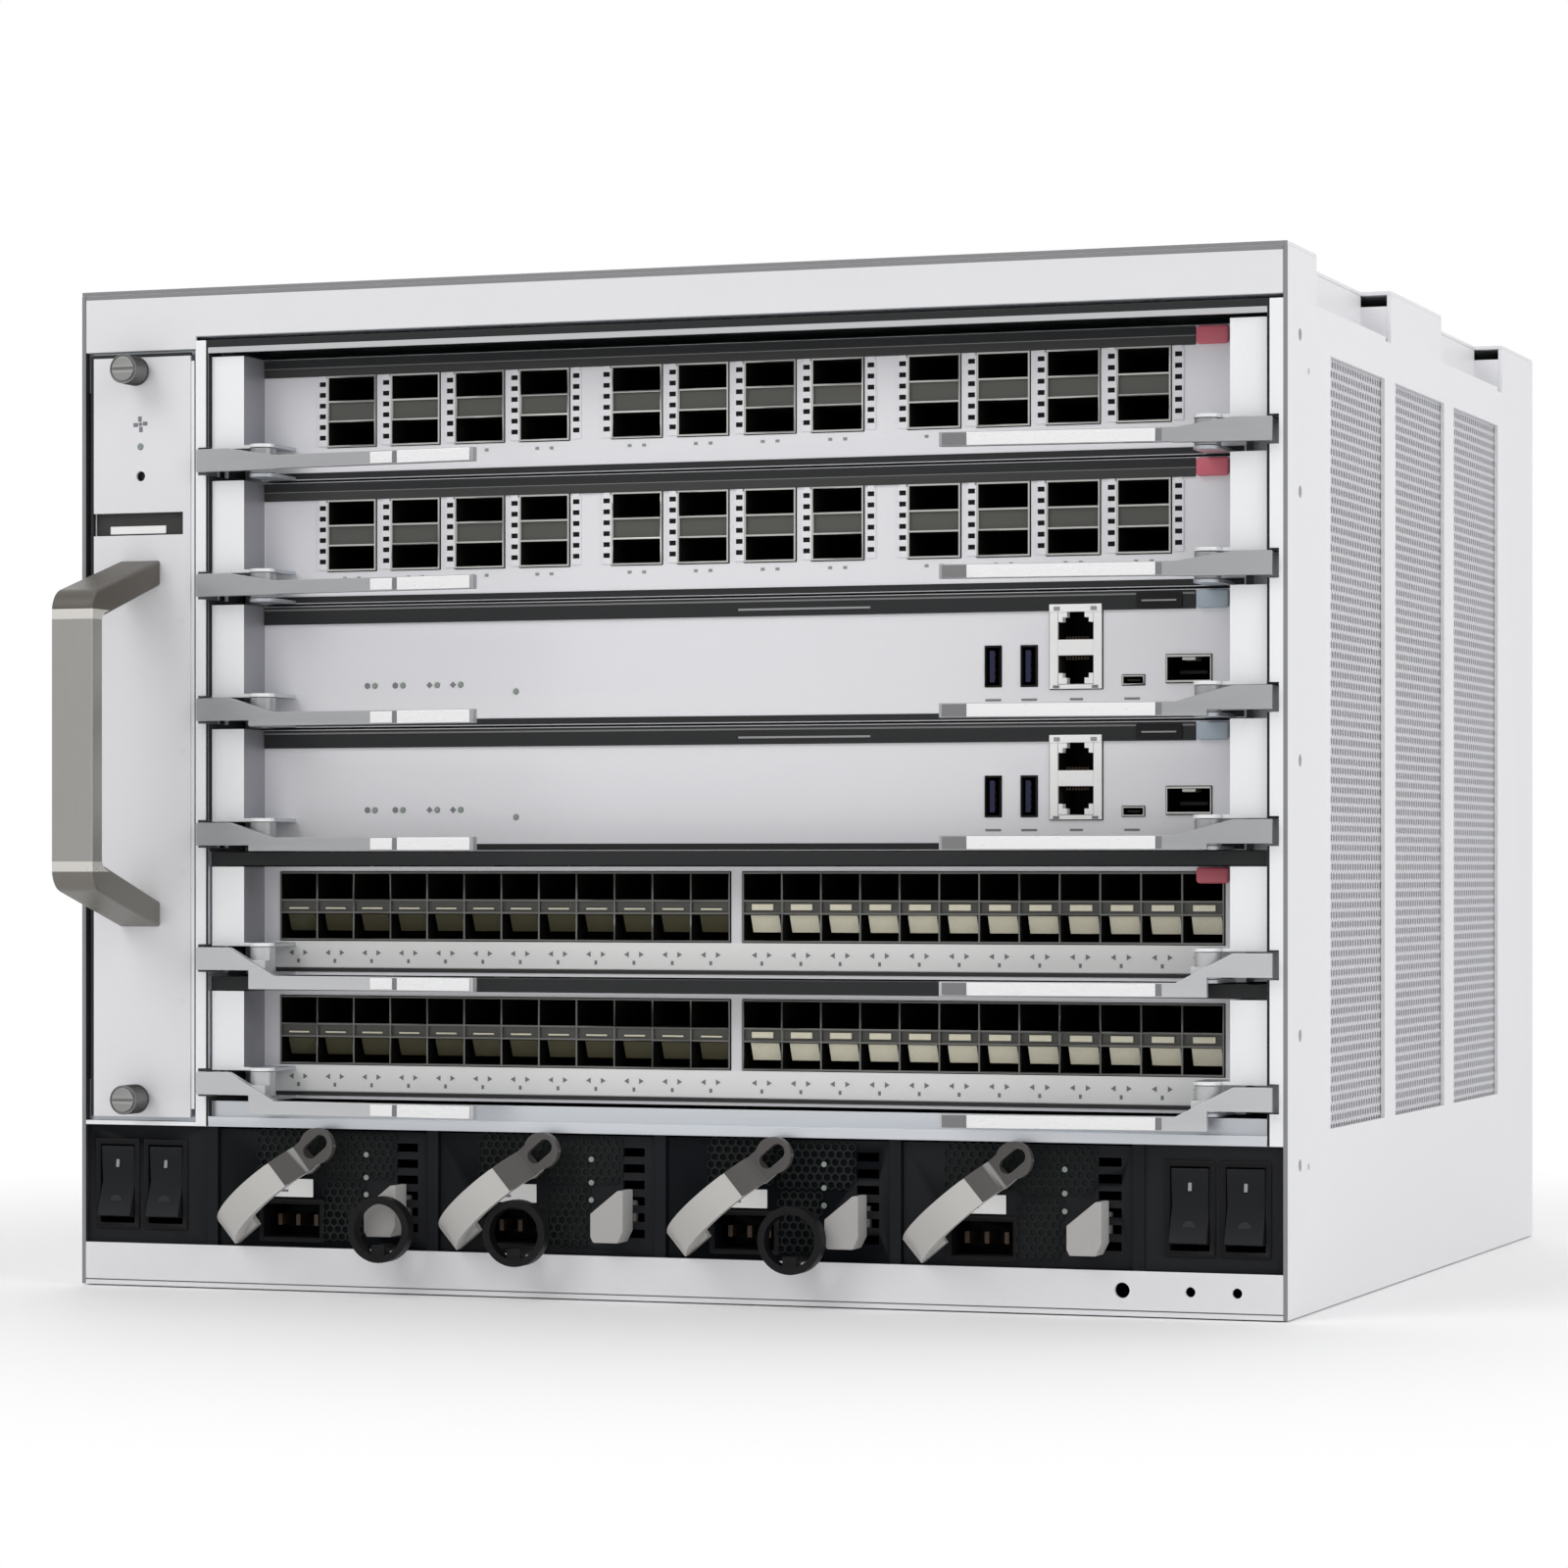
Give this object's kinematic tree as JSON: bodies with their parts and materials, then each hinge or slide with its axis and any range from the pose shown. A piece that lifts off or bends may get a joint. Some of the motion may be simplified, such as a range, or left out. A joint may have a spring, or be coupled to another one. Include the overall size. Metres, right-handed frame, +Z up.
{
  "type": "modular chassis switch",
  "caption": "Rack-height network switch chassis with horizontal plug-in cards on ejector levers, a side fan tray with a bow handle and slide-in power supplies below.",
  "frame": {"origin": "middle of the underside of the base, on the surface it stands on", "axes": "+Z up; -Y out of the front, where the ports and handles are; +X to the right seen from the front"},
  "size_m": [0.442, 0.461, 0.3543],
  "materials": {
    "grey_paint": "satin",
    "zinc_steel": "satin",
    "card_paint": "satin",
    "board": "matte",
    "lever_metal": "satin",
    "dark_case": "matte",
    "strap_grey": "satin",
    "black_plastic": "matte",
    "grip_metal": "satin",
    "tab_grey": "matte",
    "knob_metal": "satin"
  },
  "bodies": {
    "chassis": {"base_pan": "grey_paint", "left_side_panel": "grey_paint", "right_side_panel": "grey_paint", "top_cover": "grey_paint", "rear_panel": "grey_paint", "front_bezel": "grey_paint", "card_cage": "zinc_steel", "midplane": "board", "switch_blocks": "black_plastic"},
    "fan_tray": {"fan_tray_frame": "grey_paint", "fan_housings": "black_plastic", "fan_tray_handle": "grip_metal"},
    "thumbscrew_bottom": {"thumbscrew_bottom": "knob_metal"},
    "thumbscrew_top": {"thumbscrew_top": "knob_metal"},
    "fan_rotor_1_1": {"fan_rotor_1_1": "black_plastic"},
    "fan_rotor_1_2": {"fan_rotor_1_2": "black_plastic"},
    "fan_rotor_1_3": {"fan_rotor_1_3": "black_plastic"},
    "fan_rotor_2_1": {"fan_rotor_2_1": "black_plastic"},
    "fan_rotor_2_2": {"fan_rotor_2_2": "black_plastic"},
    "fan_rotor_2_3": {"fan_rotor_2_3": "black_plastic"},
    "card_1": {"card_1_carrier": "card_paint", "card_1_board": "board"},
    "card_1_lever_left": {"card_1_lever_left": "lever_metal"},
    "card_1_lever_right": {"card_1_lever_right": "lever_metal"},
    "card_2": {"card_2_carrier": "card_paint", "card_2_board": "board"},
    "card_2_lever_left": {"card_2_lever_left": "lever_metal"},
    "card_2_lever_right": {"card_2_lever_right": "lever_metal"},
    "card_3": {"card_3_carrier": "card_paint", "card_3_board": "board"},
    "card_3_lever_left": {"card_3_lever_left": "lever_metal"},
    "card_3_lever_right": {"card_3_lever_right": "lever_metal"},
    "card_4": {"card_4_carrier": "card_paint", "card_4_board": "board"},
    "card_4_lever_left": {"card_4_lever_left": "lever_metal"},
    "card_4_lever_right": {"card_4_lever_right": "lever_metal"},
    "card_5": {"card_5_carrier": "card_paint", "card_5_board": "board"},
    "card_5_lever_left": {"card_5_lever_left": "lever_metal"},
    "card_5_lever_right": {"card_5_lever_right": "lever_metal"},
    "card_6": {"card_6_carrier": "card_paint", "card_6_board": "board"},
    "card_6_lever_left": {"card_6_lever_left": "lever_metal"},
    "card_6_lever_right": {"card_6_lever_right": "lever_metal"},
    "supply_1": {"supply_1_case": "dark_case", "supply_1_handle": "strap_grey"},
    "supply_1_tab": {"supply_1_tab": "tab_grey"},
    "supply_2": {"supply_2_case": "dark_case", "supply_2_handle": "strap_grey"},
    "supply_2_tab": {"supply_2_tab": "tab_grey"},
    "supply_3": {"supply_3_case": "dark_case", "supply_3_handle": "strap_grey"},
    "supply_3_tab": {"supply_3_tab": "tab_grey"},
    "supply_4": {"supply_4_case": "dark_case", "supply_4_handle": "strap_grey"},
    "supply_4_tab": {"supply_4_tab": "tab_grey"},
    "rocker_left_1": {"rocker_left_1": "black_plastic"},
    "rocker_left_2": {"rocker_left_2": "black_plastic"},
    "rocker_right_1": {"rocker_right_1": "black_plastic"},
    "rocker_right_2": {"rocker_right_2": "black_plastic"}
  },
  "joints": [
    {"name": "fan_tray_slide", "type": "slide", "parent": "chassis", "child": "fan_tray", "axis": [0, -1, 0], "range_m": [0, 0.38]},
    {"name": "thumbscrew_bottom_turn", "type": "hinge", "parent": "fan_tray", "child": "thumbscrew_bottom", "pos_m": [-0.19775, -0.2045, 0.0665], "axis": [0, 1, 0], "continuous": true},
    {"name": "thumbscrew_top_turn", "type": "hinge", "parent": "fan_tray", "child": "thumbscrew_top", "pos_m": [-0.19775, -0.2045, 0.325], "axis": [0, 1, 0], "continuous": true},
    {"name": "fan_rotor_1_1_spin", "type": "hinge", "parent": "fan_tray", "child": "fan_rotor_1_1", "pos_m": [-0.197, -0.142, 0.13595], "axis": [1, 0, 0], "continuous": true},
    {"name": "fan_rotor_1_2_spin", "type": "hinge", "parent": "fan_tray", "child": "fan_rotor_1_2", "pos_m": [-0.197, -0.0224, 0.13595], "axis": [1, 0, 0], "continuous": true},
    {"name": "fan_rotor_1_3_spin", "type": "hinge", "parent": "fan_tray", "child": "fan_rotor_1_3", "pos_m": [-0.197, 0.0972, 0.13595], "axis": [1, 0, 0], "continuous": true},
    {"name": "fan_rotor_2_1_spin", "type": "hinge", "parent": "fan_tray", "child": "fan_rotor_2_1", "pos_m": [-0.197, -0.142, 0.25555], "axis": [1, 0, 0], "continuous": true},
    {"name": "fan_rotor_2_2_spin", "type": "hinge", "parent": "fan_tray", "child": "fan_rotor_2_2", "pos_m": [-0.197, -0.0224, 0.25555], "axis": [1, 0, 0], "continuous": true},
    {"name": "fan_rotor_2_3_spin", "type": "hinge", "parent": "fan_tray", "child": "fan_rotor_2_3", "pos_m": [-0.197, 0.0972, 0.25555], "axis": [1, 0, 0], "continuous": true},
    {"name": "card_1_slide", "type": "slide", "parent": "chassis", "child": "card_1", "axis": [0, -1, 0], "range_m": [0, 0.38]},
    {"name": "card_1_lever_left_turn", "type": "hinge", "parent": "card_1", "child": "card_1_lever_left", "pos_m": [-0.1505, -0.2025, 0.2925], "axis": [0, 0, -1], "range_deg": [0, 50]},
    {"name": "card_1_lever_right_turn", "type": "hinge", "parent": "card_1", "child": "card_1_lever_right", "pos_m": [0.1935, -0.2025, 0.2925], "axis": [0, 0, 1], "range_deg": [0, 50]},
    {"name": "card_2_slide", "type": "slide", "parent": "chassis", "child": "card_2", "axis": [0, -1, 0], "range_m": [0, 0.38]},
    {"name": "card_2_lever_left_turn", "type": "hinge", "parent": "card_2", "child": "card_2_lever_left", "pos_m": [-0.1505, -0.2025, 0.2485], "axis": [0, 0, -1], "range_deg": [0, 50]},
    {"name": "card_2_lever_right_turn", "type": "hinge", "parent": "card_2", "child": "card_2_lever_right", "pos_m": [0.1935, -0.2025, 0.2485], "axis": [0, 0, 1], "range_deg": [0, 50]},
    {"name": "card_3_slide", "type": "slide", "parent": "chassis", "child": "card_3", "axis": [0, -1, 0], "range_m": [0, 0.38]},
    {"name": "card_3_lever_left_turn", "type": "hinge", "parent": "card_3", "child": "card_3_lever_left", "pos_m": [-0.1505, -0.2025, 0.2045], "axis": [0, 0, -1], "range_deg": [0, 50]},
    {"name": "card_3_lever_right_turn", "type": "hinge", "parent": "card_3", "child": "card_3_lever_right", "pos_m": [0.1935, -0.2025, 0.2045], "axis": [0, 0, 1], "range_deg": [0, 50]},
    {"name": "card_4_slide", "type": "slide", "parent": "chassis", "child": "card_4", "axis": [0, -1, 0], "range_m": [0, 0.38]},
    {"name": "card_4_lever_left_turn", "type": "hinge", "parent": "card_4", "child": "card_4_lever_left", "pos_m": [-0.1505, -0.2025, 0.1605], "axis": [0, 0, -1], "range_deg": [0, 50]},
    {"name": "card_4_lever_right_turn", "type": "hinge", "parent": "card_4", "child": "card_4_lever_right", "pos_m": [0.1935, -0.2025, 0.1605], "axis": [0, 0, 1], "range_deg": [0, 50]},
    {"name": "card_5_slide", "type": "slide", "parent": "chassis", "child": "card_5", "axis": [0, -1, 0], "range_m": [0, 0.38]},
    {"name": "card_5_lever_left_turn", "type": "hinge", "parent": "card_5", "child": "card_5_lever_left", "pos_m": [-0.1505, -0.2025, 0.1165], "axis": [0, 0, -1], "range_deg": [0, 50]},
    {"name": "card_5_lever_right_turn", "type": "hinge", "parent": "card_5", "child": "card_5_lever_right", "pos_m": [0.1935, -0.2025, 0.1165], "axis": [0, 0, 1], "range_deg": [0, 50]},
    {"name": "card_6_slide", "type": "slide", "parent": "chassis", "child": "card_6", "axis": [0, -1, 0], "range_m": [0, 0.38]},
    {"name": "card_6_lever_left_turn", "type": "hinge", "parent": "card_6", "child": "card_6_lever_left", "pos_m": [-0.1505, -0.2025, 0.0725], "axis": [0, 0, -1], "range_deg": [0, 50]},
    {"name": "card_6_lever_right_turn", "type": "hinge", "parent": "card_6", "child": "card_6_lever_right", "pos_m": [0.1935, -0.2025, 0.0725], "axis": [0, 0, 1], "range_deg": [0, 50]},
    {"name": "supply_1_slide", "type": "slide", "parent": "chassis", "child": "supply_1", "axis": [0, -1, 0], "range_m": [0, 0.38]},
    {"name": "supply_1_tab_press", "type": "slide", "parent": "supply_1", "child": "supply_1_tab", "axis": [-1, 0, 0], "range_m": [0, 0.003], "stiffness_N_per_m": 300},
    {"name": "supply_2_slide", "type": "slide", "parent": "chassis", "child": "supply_2", "axis": [0, -1, 0], "range_m": [0, 0.38]},
    {"name": "supply_2_tab_press", "type": "slide", "parent": "supply_2", "child": "supply_2_tab", "axis": [-1, 0, 0], "range_m": [0, 0.003], "stiffness_N_per_m": 300},
    {"name": "supply_3_slide", "type": "slide", "parent": "chassis", "child": "supply_3", "axis": [0, -1, 0], "range_m": [0, 0.38]},
    {"name": "supply_3_tab_press", "type": "slide", "parent": "supply_3", "child": "supply_3_tab", "axis": [-1, 0, 0], "range_m": [0, 0.003], "stiffness_N_per_m": 300},
    {"name": "supply_4_slide", "type": "slide", "parent": "chassis", "child": "supply_4", "axis": [0, -1, 0], "range_m": [0, 0.38]},
    {"name": "supply_4_tab_press", "type": "slide", "parent": "supply_4", "child": "supply_4_tab", "axis": [-1, 0, 0], "range_m": [0, 0.003], "stiffness_N_per_m": 300},
    {"name": "rocker_left_1_tilt", "type": "hinge", "parent": "chassis", "child": "rocker_left_1", "pos_m": [-0.2075, -0.1975, 0.036], "axis": [1, 0, 0], "range_deg": [0, 16]},
    {"name": "rocker_left_2_tilt", "type": "hinge", "parent": "chassis", "child": "rocker_left_2", "pos_m": [-0.1885, -0.1975, 0.036], "axis": [1, 0, 0], "range_deg": [0, 16]},
    {"name": "rocker_right_1_tilt", "type": "hinge", "parent": "chassis", "child": "rocker_right_1", "pos_m": [0.1875, -0.1975, 0.036], "axis": [1, 0, 0], "range_deg": [0, 16]},
    {"name": "rocker_right_2_tilt", "type": "hinge", "parent": "chassis", "child": "rocker_right_2", "pos_m": [0.2065, -0.1975, 0.036], "axis": [1, 0, 0], "range_deg": [0, 16]}
  ]
}
